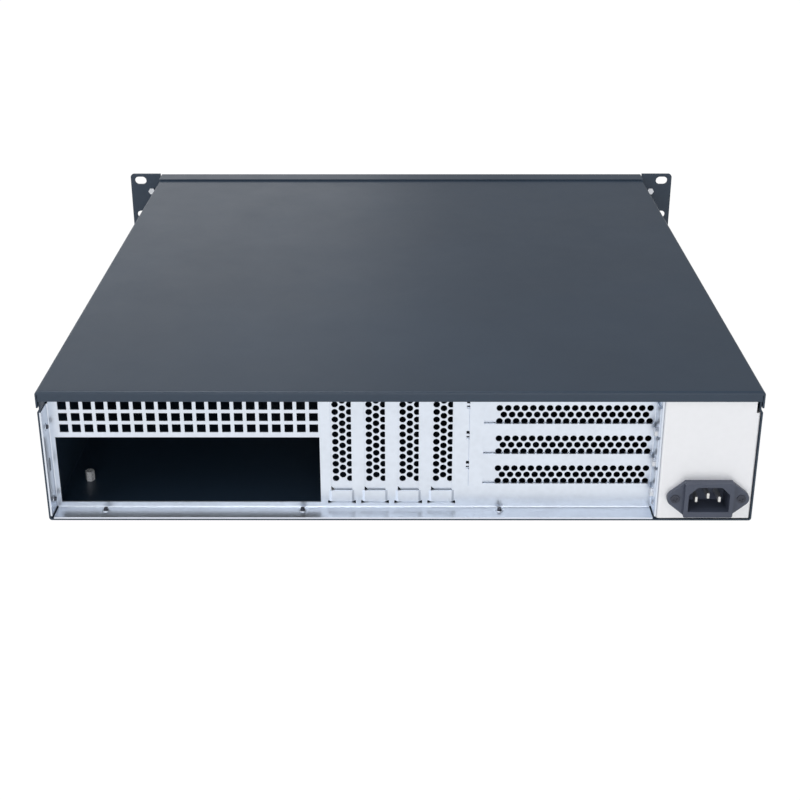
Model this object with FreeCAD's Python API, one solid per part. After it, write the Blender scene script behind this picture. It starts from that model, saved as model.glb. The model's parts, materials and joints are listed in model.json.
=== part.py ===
import FreeCAD, Part
import math
import os

# Empty 2U rackmount server case.
# Frame: +Z up, +Y towards the rear of the case, +X towards the motherboard's port side.
# Origin: middle of the case's length and width, at the plane it stands on. Units: millimetres.

Vector = FreeCAD.Vector

# ---------------------------------------------------------------- driving dimensions
# Rack standard
panel_width = 482.6            # 19 inch front panel
panel_height = 88.1            # two rack units, less the panel clearance
rack_hole_spread = 465.1       # between the slot centres of the two ears
rack_slot_width = 7.0
rack_slot_length = 10.2
rack_unit = 44.45
rack_slot_step = 31.75         # between the two slots of one rack unit

# Case
body_width = 426.0
body_depth = 448.0             # back of the front panel to the rear of the cover
front_sheet = 2.0
base_sheet = 1.0
cover_sheet = 1.0
rear_sheet = 1.0
plate_sheet = 1.0              # the plate that carries the power inlet
slot_cover_sheet = 0.8
cage_sheet = 1.0
bend = 0.8                     # inner radius of a bend
slide_gap = 0.3                # between the cover and what it slides over
fit_gap = 0.1                  # between sheets that are screwed together

# Front panel
front_flange = 18.5            # depth of its folded top edge
ear_corner = 3.0
relief = 1.5                   # notch beside the folded top edge
handle_reach = 38.0
handle_bar = 8.0
handle_inset = 18.3            # handle's middle, from the panel's end
floor_screw_insets = (33.0, 153.4, 273.8)
flange_hole_inset = 9.5        # screws in the rear panel's flanges, from the cover's rear
side_screw_inset = 9.0
side_screw_heights = (10.5, 59.5)
lug_screw_heights = (8.0, 78.0)
front_screw_heights = (22.0, 60.0)
handle_hole_spread = 56.9
handle_corner = 6.0

# Cover
skirt = 10.5                   # height of the cover's side flanges
rear_lip = 6.4
cover_front_gap = 0.8
tongue_width = 40.0
tongue_reach = 12.0
tongue_sheet = 0.8
tongue_spread = 140.0
cover_travel = 15.0
cover_screw_y = 150.0
corner_slit = 0.4

# Side walls
joggle_height = 2.0
joggle_drop = 1.4              # below the cover's side flange
front_tab = 15.0
front_tab_bottom = 12.0
front_tab_top = 70.0
wall_setback = 3.0

# Rear panel
recess = 13.75
ledge_top = 82.5               # folded top edge that carries the slot covers
ledge_setback = 1.8
side_flange_top = 72.6
power_bay_width = 58.0         # from the case's side to where the rear panel ends
vent_hole = 5.3
vent_pitch = 7.5
vent_columns = 21
vent_rows = 3
vent_inset = 11.3              # first vent column, from the case's port side
vent_top_z = 71.1
port_window_width = 159.2      # motherboard port window
port_window_height = 44.45
port_window_inset = 5.33
port_window_z = 5.6

# Expansion slots
slot_pitch = 20.32
slot_window = 12.7
slot_window_offset = 0.95
low_slots = 4
low_slot_inset = 178.3         # first low-profile slot, from the case's port side
low_cover_length = 79.2
low_window_length = 68.5
low_window_start = 3.5
full_slots = 3
full_slot_z = 24.2
full_cover_length = 118.0
full_window_length = 103.8
tab_slit = 19.0                # wide end of a full-height slot's window, for the cover's tab
tab_slit_depth = 1.8
cover_width = 18.42
tongue_tip_width = 10.2
tongue_tip_length = 9.7
cover_tab = 11.4
perforation_pitch = 5.0
perforation_size = 3.8         # across flats
perforation_sides = 4
low_perforation_start = 6.0
full_perforation_start = 4.4
low_perforations = 12
full_perforations = 19
bridge_width = 15.3
bridge_length = 7.7
bridge_rise = 0.8
bridge_slope = 1.4
bridge_slit = 0.45             # cut along the bridge's lower edge, wider at both ends
bridge_slit_end = 1.0
bridge_slit_notch = 0.3
bridge_slit_reach = 0.8
step_inset = 254.4             # start of the raised field round the full-height slots
step_rise = 0.6
step_slope = 0.35
step_bottom = 17.0
relief_slot_z = 34.5           # upright slot in the rear panel's port-side flange
relief_slot_length = 9.0
relief_slot_width = 3.5
key_hole = 1.9
key_hole_inset = 253.9
key_hole_rise = 7.2
key_hole_gap = 3.4

# Power inlet
inlet_inset = 28.0
inlet_z = 16.6
inlet_half_length = 27.4       # to the corner before rounding
inlet_half_width = 13.8
inlet_rim_half_width = 14.75
inlet_half_height = 11.4
inlet_flange = 3.0
inlet_rim = 2.5
inlet_depth = 20.0
inlet_screw_spread = 40.0
inlet_lobe = 5.0
socket_width = 24.6
socket_height = 16.6
socket_chamfer = 5.0
socket_rise = 0.7              # socket's middle above the flange's middle
socket_depth = 15.5
body_inset = 1.9
pin_width = 2.0
pin_height = 4.0
pin_length = 12.5
pin_spread = 7.0
earth_rise = 2.5
pin_rise = 0.45                # pins' mean height above the flange's middle
pin_tail = 8.0
notch_width = 2.5

# Fasteners
screw_radius = 1.5
screw_head = 3.0
screw_head_height = 1.9
countersink_height = 1.0
screw_clearance = 0.15
nut_radius = 3.1
nut_height = 2.4
slot_screw_offset = -8.0
slot_screw_inset = 6.9

# Motherboard supports
board_inset = 8.35             # motherboard's edge, from the case's port side
board_gap = 2.05
standoff_height = 6.5
standoff_radius = 2.9

# Fans
fan_size = 80.0
fan_depth = 25.0
fan_bore = 38.5
fan_corner = 3.0
duct_sides = 16
hub_sides = 12
fan_insets = (211.0, 125.0)    # fan centres, from the case's port side
fan_z = 43.5
hub_radius = 16.0
motor_radius = 17.0
motor_plate = 3.0
strut_width = 5.0
blade_count = 7
blade_chord = 18.0
blade_sheet = 1.2
blade_pitch = 45.0
blade_tip_gap = 1.6
shaft_radius = 1.5
shaft_clearance = 0.05
shaft_length = 12.0
rotor_gap = 0.3
hub_setback = 3.0
grille_slots = 9
grille_slot_width = 4.5
grille_pitch = 8.0
grille_height = 62.0

# Drive bay
bay_inset = 90.5               # drive bay's middle, from the case's power side
bay_width = 148.0
bay_height = 42.0
bay_z = 38.0
bay_clearance = 0.3
bay_cover_depth = 2.6
bay_cover_wall = 2.0
bay_snap = 1.4
bay_snap_height = 12.0
cage_depth = 140.0
cage_setback = 5.5
cage_top = 83.0
cage_foot = 8.0
cage_slot_length = 10.0
cage_slot_width = 3.6

# Power supply bracket
supply_inset = 63.0
supply_y = -20.0
supply_width = 100.0
supply_height = 60.0
supply_foot = 15.0

# Front controls
controls_inset = 36.0
button_z = 64.0
button_radius = 6.0
button_proud = 2.0
button_travel = 2.0
reset_z = 46.0
reset_radius = 2.5
button_clearance = 0.3
button_flange = 1.5
button_flange_sheet = 1.0
button_sides = 12
stem_width = 2.6
stem_clearance = 0.08
stem_grip = 1.0                # stem inside its switch at rest
switch_size = 9.0
switch_height = 6.0
board_depth = 18.0
board_sheet = 1.6
board_width = 36.0
board_bottom = 12.0
board_top = 76.0
led_radius = 1.5
light_sides = 8
led_z = 36.0
led_spread = 12.0
led_proud = 0.6
led_clearance = 0.1
usb_z = 23.0
usb_spread = 18.0
usb_width = 13.2
usb_height = 5.8
usb_wall = 0.4
usb_tongue = 1.9
usb_clearance = 0.2
post_radius = 2.5

# ---------------------------------------------------------------- derived places
inlet_proud = inlet_flange + inlet_rim - cover_sheet - slide_gap
overall_depth = handle_reach + front_sheet + body_depth + inlet_proud
front_y = -overall_depth / 2 + handle_reach
panel_back_y = front_y + front_sheet
rear_y = panel_back_y + body_depth
tray_rear_y = rear_y - cover_sheet - slide_gap
half_width = body_width / 2
power_bay_x = -half_width + power_bay_width
vent_first_x = half_width - vent_inset
port_window_x = half_width - port_window_inset
low_slot_x = half_width - low_slot_inset
step_x = half_width - step_inset
key_hole_x = half_width - key_hole_inset
inlet_x = -half_width + inlet_inset
board_edge_x = half_width - board_inset
fan_x = [half_width - inset for inset in fan_insets]
bay_x = -half_width + bay_inset
supply_x = -half_width + supply_inset
controls_x = half_width - controls_inset
handle_spread = panel_width - 2 * handle_inset
wall_inner_x = half_width - base_sheet

cover_underside = panel_height - front_sheet - slide_gap
cover_top = cover_underside + cover_sheet
wall_top = cover_underside - slide_gap
skirt_bottom = cover_top - skirt
joggle = cover_sheet + slide_gap
joggle_top = skirt_bottom - joggle_drop
joggle_bottom = joggle_top - joggle_height
cover_front_y = front_y + front_flange + cover_front_gap
cover_screw_z = skirt_bottom + (skirt - cover_sheet) / 2

rear_face_y = rear_y - recess
rear_inner_y = rear_face_y - rear_sheet
rear_side_x = wall_inner_x - fit_gap
bend_outer = bend + rear_sheet
inlet_face_y = tray_rear_y


# ---------------------------------------------------------------- shape helpers
def box(x0, x1, y0, y1, z0, z1):
    return Part.makeBox(x1 - x0, y1 - y0, z1 - z0, Vector(x0, y0, z0))


def on_plane(plane, u, v, w):
    """Point at (u, v) on a plane named by its axes, w along the third axis."""
    if plane == "xz":
        return Vector(u, w, v)
    if plane == "yz":
        return Vector(w, u, v)
    return Vector(u, v, w)


def unit(first, second):
    length = math.hypot(second[0] - first[0], second[1] - first[1])
    return ((second[0] - first[0]) / length, (second[1] - first[1]) / length)


def outline(corners, plane, level):
    """Closed wire through (u, v, radius) corners, each rounded by its own radius."""
    count = len(corners)
    joins = []
    for i in range(count):
        before = corners[i - 1]
        here = corners[i]
        after = corners[(i + 1) % count]
        back = unit(here, before)
        ahead = unit(here, after)
        if here[2] <= 0:
            joins.append((here, here, None))
            continue
        cosine = back[0] * ahead[0] + back[1] * ahead[1]
        half_angle = math.acos(max(-1.0, min(1.0, cosine))) / 2
        reach = here[2] / math.tan(half_angle)
        start = (here[0] + back[0] * reach, here[1] + back[1] * reach)
        end = (here[0] + ahead[0] * reach, here[1] + ahead[1] * reach)
        bisector = (back[0] + ahead[0], back[1] + ahead[1])
        size = math.hypot(bisector[0], bisector[1])
        depth = here[2] / math.sin(half_angle) - here[2]
        middle = (here[0] + bisector[0] / size * depth, here[1] + bisector[1] / size * depth)
        joins.append((start, end, middle))
    edges = []
    for i in range(count):
        start, end, middle = joins[i]
        if middle is not None:
            arc = Part.Arc(on_plane(plane, start[0], start[1], level),
                           on_plane(plane, middle[0], middle[1], level),
                           on_plane(plane, end[0], end[1], level))
            edges.append(arc.toShape())
        following = joins[(i + 1) % count][0]
        first = on_plane(plane, end[0], end[1], level)
        second = on_plane(plane, following[0], following[1], level)
        if first.distanceToPoint(second) > 1e-6:
            edges.append(Part.makeLine(first, second))
    return Part.Wire(edges)


def prism(corners, plane, low, high):
    """Outline of (u, v, radius) corners, extruded from low to high along the third axis."""
    face = Part.Face(outline(corners, plane, low))
    return face.extrude(on_plane(plane, 0, 0, high - low))


def long_hole(u, v, half_length, half_width):
    """Outline of a slot along the first axis, whose ends have four sides each."""
    corners = []
    for end in (1, -1):
        for step in (-2, -1, 0, 1, 2):
            angle = step * math.pi / 4
            corners.append((u + end * (half_length - half_width + half_width * math.cos(angle)),
                            v + end * half_width * math.sin(angle), 0))
    return corners


def turned(corners):
    """The same outline, with its two axes exchanged."""
    return [(v, u, radius) for u, v, radius in corners]


def sharp(points):
    return [(u, v, 0) for u, v in points]


def bent_sheet(path, sheet, radius, plane, low, high):
    """Folded sheet: path lies on one face, and the sheet is to its left (right if negative).

    A bend radius of nought leaves the folds sharp."""
    count = len(path)
    inner = max(radius, 0)
    outer = inner + abs(sheet) if radius > 0 else 0
    near = []
    far = []
    for i, point in enumerate(path):
        directions = []
        if i > 0:
            directions.append(unit(path[i - 1], point))
        if i < count - 1:
            directions.append(unit(point, path[i + 1]))
        normals = [(-d[1], d[0]) for d in directions]
        if len(normals) == 1:
            shift = normals[0]
            near.append((point[0], point[1], 0))
            far.append((point[0] + shift[0] * sheet, point[1] + shift[1] * sheet, 0))
            continue
        spread = 1 + normals[0][0] * normals[1][0] + normals[0][1] * normals[1][1]
        shift = ((normals[0][0] + normals[1][0]) / spread, (normals[0][1] + normals[1][1]) / spread)
        turn = directions[0][0] * directions[1][1] - directions[0][1] * directions[1][0]
        inside = turn * sheet < 0
        near.append((point[0], point[1], inner if inside else outer))
        far.append((point[0] + shift[0] * sheet, point[1] + shift[1] * sheet, outer if inside else inner))
    return prism(near + far[::-1], plane, low, high)


def polygon_wire(sides, radius, level):
    points = []
    for i in range(sides + 1):
        angle = 2 * math.pi * (i % sides) / sides
        points.append(Vector(radius * math.cos(angle), radius * math.sin(angle), level))
    return Part.makePolygon(points)


def along(shape, point, direction):
    """Moves a shape built upwards from the origin to a point, with +Z turned to a direction."""
    moved = shape.copy()
    turn = FreeCAD.Rotation(Vector(0, 0, 1), direction)
    moved.Placement = FreeCAD.Placement(point, turn)
    return moved


def bar(sides, radius, length, point, direction):
    """Straight bar with a polygon section, such as a hex post or a small fastener's shank."""
    shape = Part.Face(polygon_wire(sides, radius, 0)).extrude(Vector(0, 0, length))
    return along(shape, point, direction)


def taper(sides, radius, end_radius, length, point, direction):
    """Flat-sided cone, such as a small countersunk head."""
    near = polygon_wire(sides, radius, 0)
    far = polygon_wire(sides, end_radius, length)
    faces = [Part.Face(near), Part.Face(far)]
    for near_edge, far_edge in zip(near.Edges, far.Edges):
        a, b = near_edge.firstVertex().Point, near_edge.lastVertex().Point
        c, d = far_edge.lastVertex().Point, far_edge.firstVertex().Point
        faces.append(Part.Face(Part.makePolygon([a, b, c, d, a])))
    return along(Part.makeSolid(Part.makeShell(faces)), point, direction)


def rod(radius, length, point, direction):
    return Part.makeCylinder(radius, length, point, direction)


def joined(shapes):
    result = shapes[0]
    if len(shapes) > 1:
        result = shapes[0].fuse(shapes[1:])
    return result.removeSplitter()


def group(shapes):
    return Part.makeCompound(shapes)


# Small fasteners and their holes are six-sided: they are many and small.
def hex_screw(length, point, direction):
    """Screw seen from its seat: the head is on the seat's outer side, the shank goes along direction."""
    outward = Vector(-direction.x, -direction.y, -direction.z)
    head = bar(6, screw_head, screw_head_height, point, outward)
    shank = bar(6, screw_radius, length, point, direction)
    return joined([head, shank])


def flat_screw(length, point, direction):
    """Countersunk screw whose head is flush at point and whose shank goes along direction."""
    head = taper(6, screw_head - screw_clearance, screw_radius, countersink_height, point, direction)
    shank = bar(6, screw_radius, length, point, direction)
    return joined([head, shank])


def screw_hole(length, point, direction):
    return bar(6, screw_radius + screw_clearance, length, point, direction)


def flat_screw_hole(length, point, direction):
    head = taper(6, screw_head, screw_radius + screw_clearance, countersink_height, point, direction)
    return joined([head, screw_hole(length, point, direction)])


X = Vector(1, 0, 0)
Y = Vector(0, 1, 0)
Z = Vector(0, 0, 1)
MINUS_X = Vector(-1, 0, 0)
MINUS_Y = Vector(0, -1, 0)
MINUS_Z = Vector(0, 0, -1)


# ---------------------------------------------------------------- places shared by pieces
def floor_screw_points():
    """Screws that come up through the floor into the rear panel's bottom flange."""
    return [Vector(half_width - inset, rear_y - flange_hole_inset, 0) for inset in floor_screw_insets]


def side_screw_points():
    """Screws that hold the rear panel's side flange to the tray's wall."""
    return [Vector(half_width, rear_y - side_screw_inset, z) for z in side_screw_heights]


def plate_screw_points():
    """Screws that hold the inlet plate's side flange to the tray's other wall."""
    return [Vector(-half_width, rear_y - side_screw_inset, z) for z in side_screw_heights]


def lug_screw_points():
    """Screws that hold the inlet plate's lugs to the rear panel."""
    x = power_bay_x - fit_gap - plate_sheet
    return [Vector(x, rear_y - flange_hole_inset, z) for z in lug_screw_heights]


def cover_screw_points():
    return [Vector(side * half_width, cover_screw_y, cover_screw_z) for side in (-1, 1)]


def front_screw_points():
    """Screws from inside, through the tray's front tabs into the front panel."""
    x = half_width - front_tab / 2
    return [Vector(side * x, panel_back_y + base_sheet, z) for side in (-1, 1) for z in front_screw_heights]


def handle_screw_points():
    points = []
    for side in (-1, 1):
        for step in (-1, 1):
            z = panel_height / 2 + step * handle_hole_spread / 2
            points.append(Vector(side * handle_spread / 2, panel_back_y, z))
    return points


def fan_screw_points():
    """Two screws hold each fan, at opposite corners, from the front."""
    reach = fan_size / 2 - 4.25
    points = []
    for x in fan_x:
        for side in (-1, 1):
            points.append(Vector(x + side * reach, front_y, fan_z + side * reach))
    return points


def standoff_points():
    """Motherboard hole pattern, measured from the board's rear corner on the port side."""
    points = []
    for across in (6.35, 163.83, 288.29):
        first = 33.02 if across < 10 else 10.16
        for inward in (first, 165.1, 237.49):
            x = board_edge_x - across
            y = rear_inner_y - board_gap - inward
            points.append(Vector(x, y, base_sheet))
    return points


def low_slot_places():
    """Placement of each low-profile slot: origin where the ledge's top meets the panel's back."""
    places = []
    for i in range(low_slots):
        point = Vector(low_slot_x - i * slot_pitch, rear_inner_y, ledge_top)
        places.append(FreeCAD.Placement(point, FreeCAD.Rotation()))
    return places


def full_slot_places():
    """Full-height slots lie on their side, with their ledge on the flange at the power bay."""
    places = []
    for i in range(full_slots):
        point = Vector(power_bay_x + rear_sheet, rear_inner_y, full_slot_z + i * slot_pitch)
        places.append(FreeCAD.Placement(point, FreeCAD.Rotation(Vector(0, 1, 0), -90)))
    return places


def placed(shape, place):
    moved = shape.copy()
    moved.Placement = place
    return moved


# ---------------------------------------------------------------- tray
def base_tray():
    """Floor and two side walls in one folded sheet, with the walls set in under the cover."""
    path = [(-half_width + joggle, wall_top), (-half_width + joggle, joggle_top),
            (-half_width, joggle_bottom), (-half_width, 0), (half_width, 0),
            (half_width, joggle_bottom), (half_width - joggle, joggle_top),
            (half_width - joggle, wall_top)]
    wall_front_y = panel_back_y + wall_setback
    tray = bent_sheet(path, base_sheet, bend, "xz", wall_front_y, tray_rear_y)
    edge = half_width - wall_setback
    pieces = [tray, box(-edge, edge, panel_back_y, wall_front_y, 0, base_sheet)]
    right = [(half_width - front_tab, panel_back_y), (half_width, panel_back_y),
             (half_width, wall_front_y)]
    left = [(-u, v) for u, v in right[::-1]]
    for tab in (right, left):
        pieces.append(bent_sheet(tab, base_sheet, bend, "xy", front_tab_bottom, front_tab_top))
    tray = joined(pieces)
    cutters = []
    for point in floor_screw_points():
        cutters.append(flat_screw_hole(base_sheet * 2, point, Z))
    for point in side_screw_points():
        cutters.append(flat_screw_hole(base_sheet * 2, point, MINUS_X))
    for point in plate_screw_points():
        cutters.append(flat_screw_hole(base_sheet * 2, point, X))
    for point in front_screw_points():
        cutters.append(screw_hole(base_sheet * 3, point + MINUS_Y * base_sheet * 2, Y))
    radius = screw_radius + screw_clearance + slide_gap
    slot = long_hole(cover_screw_y + cover_travel / 2, cover_screw_z, cover_travel / 2 + radius, radius)
    for side in (-1, 1):
        cutters.append(prism(slot, "yz", side * half_width - 5, side * half_width + 5))
    return tray.cut(cutters)


# ---------------------------------------------------------------- cover
def top_cover():
    """Folded lid with two side flanges, a rear lip and three welded tongues at the front."""
    length = rear_y - cover_front_y
    radius = bend + cover_sheet
    skin = box(-half_width, half_width, cover_front_y, rear_y, skirt_bottom, cover_top)
    edges = []
    for edge in skin.Edges:
        middle = edge.CenterOfMass
        at_top = abs(middle.z - cover_top) < 0.01
        if at_top and (abs(abs(middle.x) - half_width) < 0.01 or abs(middle.y - rear_y) < 0.01):
            edges.append(edge)
    skin = skin.makeFillet(radius, edges)
    inner_x = half_width - cover_sheet
    inner_y = rear_y - cover_sheet
    hollow = box(-inner_x, inner_x, cover_front_y - length, inner_y, skirt_bottom - 1, cover_underside)
    edges = []
    for edge in hollow.Edges:
        middle = edge.CenterOfMass
        at_top = abs(middle.z - cover_underside) < 0.01
        if at_top and (abs(abs(middle.x) - inner_x) < 0.01 or abs(middle.y - inner_y) < 0.01):
            edges.append(edge)
    hollow = hollow.makeFillet(bend, edges)
    lip_bottom = cover_top - rear_lip
    below_lip = box(-inner_x, inner_x, inner_y - 1, rear_y + 1, skirt_bottom - 1, lip_bottom)
    cover = skin.cut([hollow, below_lip])
    slits = []
    for side in (-1, 1):
        x0 = side * (inner_x - corner_slit / 2) - corner_slit / 2
        slits.append(box(x0, x0 + corner_slit, inner_y - 1, rear_y + 1,
                         lip_bottom - 1, cover_top - radius - corner_slit))
    for point in cover_screw_points():
        direction = MINUS_X if point.x > 0 else X
        slits.append(flat_screw_hole(cover_sheet * 2, point, direction))
    cover = cover.cut(slits)
    tongues = []
    for i in (-1, 0, 1):
        x0 = i * tongue_spread - tongue_width / 2
        tongues.append(box(x0, x0 + tongue_width, cover_front_y - tongue_reach,
                           cover_front_y + tongue_reach, cover_underside - tongue_sheet,
                           cover_underside))
    return joined([cover] + tongues)


def cover_screws():
    screws = []
    reach = joggle + base_sheet + slide_gap + nut_height
    for point in cover_screw_points():
        direction = MINUS_X if point.x > 0 else X
        screws.append(flat_screw(reach, point, direction))
    return group(screws)


def cover_nuts():
    """Nuts behind the slots in the side walls: they travel with the cover."""
    nuts = []
    for point in cover_screw_points():
        direction = MINUS_X if point.x > 0 else X
        start = point + direction * (joggle + base_sheet + slide_gap)
        nut = bar(6, nut_radius, nut_height, start, direction)
        bore = bar(6, screw_radius + fit_gap, nut_height, start, direction)
        nuts.append(nut.cut(bore))
    return group(nuts)


# ---------------------------------------------------------------- front panel
def front_panel():
    """Panel and rack ears in one sheet, with its top edge folded back between the ears."""
    half = panel_width / 2
    fold_start = panel_height - 2 * (front_sheet + bend)
    plate = prism([(-half, 0, ear_corner), (half, 0, ear_corner),
                   (half, panel_height, ear_corner), (-half, panel_height, ear_corner)],
                  "xz", front_y, panel_back_y)
    notch = half_width + relief
    plate = plate.cut(box(-notch, notch, front_y - 1, panel_back_y + 1, fold_start, panel_height + 1))
    path = [(front_y, fold_start), (front_y, panel_height), (front_y + front_flange, panel_height)]
    fold = bent_sheet(path, -front_sheet, bend, "yz", -half_width, half_width)
    panel = joined([plate, fold])

    cutters = []
    low = (panel_height - 2 * rack_unit) / 2 + (rack_unit - rack_slot_step) / 2
    for side in (-1, 1):
        x = side * rack_hole_spread / 2
        for unit_number in (0, 1):
            for step in (0, 1):
                z = low + unit_number * rack_unit + step * rack_slot_step
                a = rack_slot_length / 2
                b = rack_slot_width / 2
                slot = [(x - a, z - b, b), (x + a, z - b, b), (x + a, z + b, b), (x - a, z + b, b)]
                cutters.append(prism(slot, "xz", front_y - 1, panel_back_y + 1))
    for x in fan_x:
        for i in range(grille_slots):
            middle = x + (i - (grille_slots - 1) / 2) * grille_pitch
            cutters.append(box(middle - grille_slot_width / 2, middle + grille_slot_width / 2,
                               front_y - 1, panel_back_y + 1,
                               fan_z - grille_height / 2, fan_z + grille_height / 2))
    cutters.append(box(bay_x - bay_width / 2, bay_x + bay_width / 2, front_y - 1, panel_back_y + 1,
                       bay_z, bay_z + bay_height))
    through = Vector(0, 1, 0)
    start = front_y - 1
    depth = front_sheet + 2
    for radius, z in ((button_radius, button_z), (reset_radius, reset_z)):
        point = Vector(controls_x, start, z)
        cutters.append(bar(button_sides, radius + button_clearance, depth, point, through))
    for side in (-1, 1):
        point = Vector(controls_x + side * led_spread / 2, start, led_z)
        cutters.append(bar(light_sides, led_radius + led_clearance, depth, point, through))
        x = controls_x + side * usb_spread / 2
        cutters.append(box(x - usb_width / 2 - usb_clearance, x + usb_width / 2 + usb_clearance,
                           start, start + depth, usb_z - usb_height / 2 - usb_clearance,
                           usb_z + usb_height / 2 + usb_clearance))
    for point in front_screw_points():
        cutters.append(screw_hole(base_sheet + front_sheet * 0.8, point, MINUS_Y))
    for point in handle_screw_points():
        cutters.append(screw_hole(front_sheet + 1, point, MINUS_Y))
    for point in fan_screw_points():
        cutters.append(screw_hole(front_sheet + 1, point, Y))
    return panel.cut(cutters)


def front_screws():
    length = base_sheet + front_sheet * 0.75
    return group([hex_screw(length, point, MINUS_Y) for point in front_screw_points()])


def handle(side):
    middle = panel_height / 2
    reach = handle_hole_spread / 2 + handle_bar / 2
    tip = front_y - handle_reach
    path = [(front_y, middle - reach), (tip, middle - reach), (tip, middle + reach),
            (front_y, middle + reach)]
    x = side * handle_spread / 2
    grip = bent_sheet(path, -handle_bar, handle_corner, "yz", x - handle_bar / 2, x + handle_bar / 2)
    holes = []
    for point in handle_screw_points():
        holes.append(screw_hole(front_sheet + 8.5, point, MINUS_Y))
    return grip.cut(holes)


def handle_screws():
    return group([hex_screw(front_sheet + 8, point, MINUS_Y) for point in handle_screw_points()])


# ---------------------------------------------------------------- rear panel
def slot_cutter(window_length, window_start):
    """Window of one expansion slot, in the frame of the slot's cover."""
    x0 = slot_window_offset - slot_window / 2
    return box(x0, x0 + slot_window, -1, rear_sheet + step_rise + 1, -window_length, -window_start)


def bridge():
    """Raised strap that the low-profile cover's tongue slides behind, in the cover's frame."""
    half = bridge_width / 2
    flat = half - bridge_slope
    middle = slot_window_offset
    sheet = rear_sheet
    points = [(-half, 0), (-flat, bridge_rise), (flat, bridge_rise), (half, 0), (half, sheet),
              (flat, sheet + bridge_rise), (-flat, sheet + bridge_rise), (-half, sheet)]
    top = -low_window_length
    return prism(sharp([(middle + u, v) for u, v in points]), "xy", top - bridge_length, top)


def bridge_slot():
    """Thin slot that frees a bridge's lower edge, flared at both ends, in the cover's frame."""
    end = bridge_width / 2 + bridge_slit_reach
    waist = bridge_width / 2 - bridge_slope
    edge = -low_window_length - bridge_length
    points = [(-end, bridge_slit_notch), (-waist, 0), (waist, 0), (end, bridge_slit_notch),
              (end, -bridge_slit_end), (waist, -bridge_slit), (-waist, -bridge_slit), (-end, -bridge_slit_end)]
    return prism(sharp([(slot_window_offset + u, edge + v) for u, v in points]), "xz", -1, rear_sheet + 1)


def rear_panel():
    """Recessed rear panel: a shallow open box, folded towards the rear on all four sides."""
    floor_z = base_sheet
    side_end = tray_rear_y
    upright = [(side_end, floor_z), (rear_inner_y, floor_z), (rear_inner_y, ledge_top),
               (side_end - ledge_setback, ledge_top)]
    centre = bent_sheet(upright, -rear_sheet, bend, "yz",
                        power_bay_x + bend_outer, rear_side_x - bend_outer)
    across = [(rear_side_x, side_end), (rear_side_x, rear_inner_y), (power_bay_x, rear_inner_y),
              (power_bay_x, side_end)]
    sides = bent_sheet(across, -rear_sheet, bend, "xy", floor_z + bend_outer, side_flange_top)
    upper = [(rear_side_x - bend_outer, rear_inner_y), (power_bay_x, rear_inner_y), (power_bay_x, side_end)]
    upper_side = bent_sheet(upper, -rear_sheet, bend, "xy", side_flange_top, ledge_top - bend_outer)
    panel = joined([centre, sides, upper_side])

    # Raised field round the full-height slots: the sheet steps out by step_rise.
    step_end = power_bay_x + bend_outer
    step_top = ledge_top - bend_outer
    field = sharp([(step_x, rear_face_y), (step_end, rear_face_y),
                   (step_end, rear_face_y + step_rise), (step_x - step_slope, rear_face_y + step_rise)])
    panel = joined([panel, prism(field, "xy", step_bottom, step_top)])
    dish_end = step_end + step_rise
    dish = sharp([(step_x - step_slope / 2, rear_inner_y - 1), (dish_end, rear_inner_y - 1),
                  (dish_end, rear_inner_y + step_rise), (step_x - step_slope, rear_inner_y + step_rise),
                  (step_x - step_slope / 2, rear_inner_y)])
    cutters = [prism(dish, "xy", step_bottom + step_rise, step_top - step_rise)]

    # Vents
    reach = vent_hole / 2
    for column in range(vent_columns):
        x = vent_first_x - column * vent_pitch
        for row in range(vent_rows):
            z = vent_top_z - row * vent_pitch
            cutters.append(box(x - reach, x + reach, rear_inner_y - 1, rear_face_y + 1, z - reach, z + reach))

    # Port window
    cutters.append(box(port_window_x - port_window_width, port_window_x, rear_inner_y - 1, rear_face_y + 1,
                       port_window_z, port_window_z + port_window_height))

    # Expansion slots
    for place in low_slot_places():
        cutters.append(placed(slot_cutter(low_window_length, low_window_start), place))
        strap = box(slot_window_offset - bridge_width / 2, slot_window_offset + bridge_width / 2, -1,
                    rear_sheet + 1, -low_window_length - bridge_length, -low_window_length)
        cutters.append(placed(strap, place))
        cutters.append(placed(bridge_slot(), place))
    for place in full_slot_places():
        cutters.append(placed(slot_cutter(full_window_length, 0), place))
        slit = box(-tab_slit / 2, tab_slit / 2, -1, bend_outer + 0.7, -tab_slit_depth, 0)
        cutters.append(placed(slit, place))
    for i in range(full_slots):
        middle = full_slot_z + i * slot_pitch + key_hole_rise
        for side in (-1, 1):
            z = middle + side * key_hole_gap / 2
            cutters.append(box(key_hole_x - key_hole / 2, key_hole_x + key_hole / 2,
                               rear_inner_y - 1, rear_face_y + 1, z - key_hole / 2, z + key_hole / 2))

    # Screw holes
    for place in low_slot_places() + full_slot_places():
        point = place.multVec(Vector(slot_screw_offset, slot_screw_inset, rear_sheet + 1))
        direction = place.Rotation.multVec(MINUS_Z)
        cutters.append(screw_hole(2 * rear_sheet + 2, point, direction))
    for point in floor_screw_points():
        cutters.append(screw_hole(base_sheet + rear_sheet + 1, point, Z))
    for point in side_screw_points():
        cutters.append(screw_hole(base_sheet + rear_sheet + 1, point, MINUS_X))
    for point in lug_screw_points():
        cutters.append(screw_hole(plate_sheet + rear_sheet + 1, point, X))
    relief_slot = turned(long_hole(relief_slot_z, rear_y - 8.5, relief_slot_length / 2, relief_slot_width / 2))
    cutters.append(prism(relief_slot, "yz", rear_side_x - rear_sheet - 1, rear_side_x + fit_gap / 2))

    panel = panel.cut(cutters)
    straps = [placed(bridge(), place) for place in low_slot_places()]
    return joined([panel] + straps)


def rear_panel_screws():
    length = base_sheet + rear_sheet + fit_gap
    screws = [flat_screw(length, point, Z) for point in floor_screw_points()]
    screws += [flat_screw(length, point, MINUS_X) for point in side_screw_points()]
    return group(screws)


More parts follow.
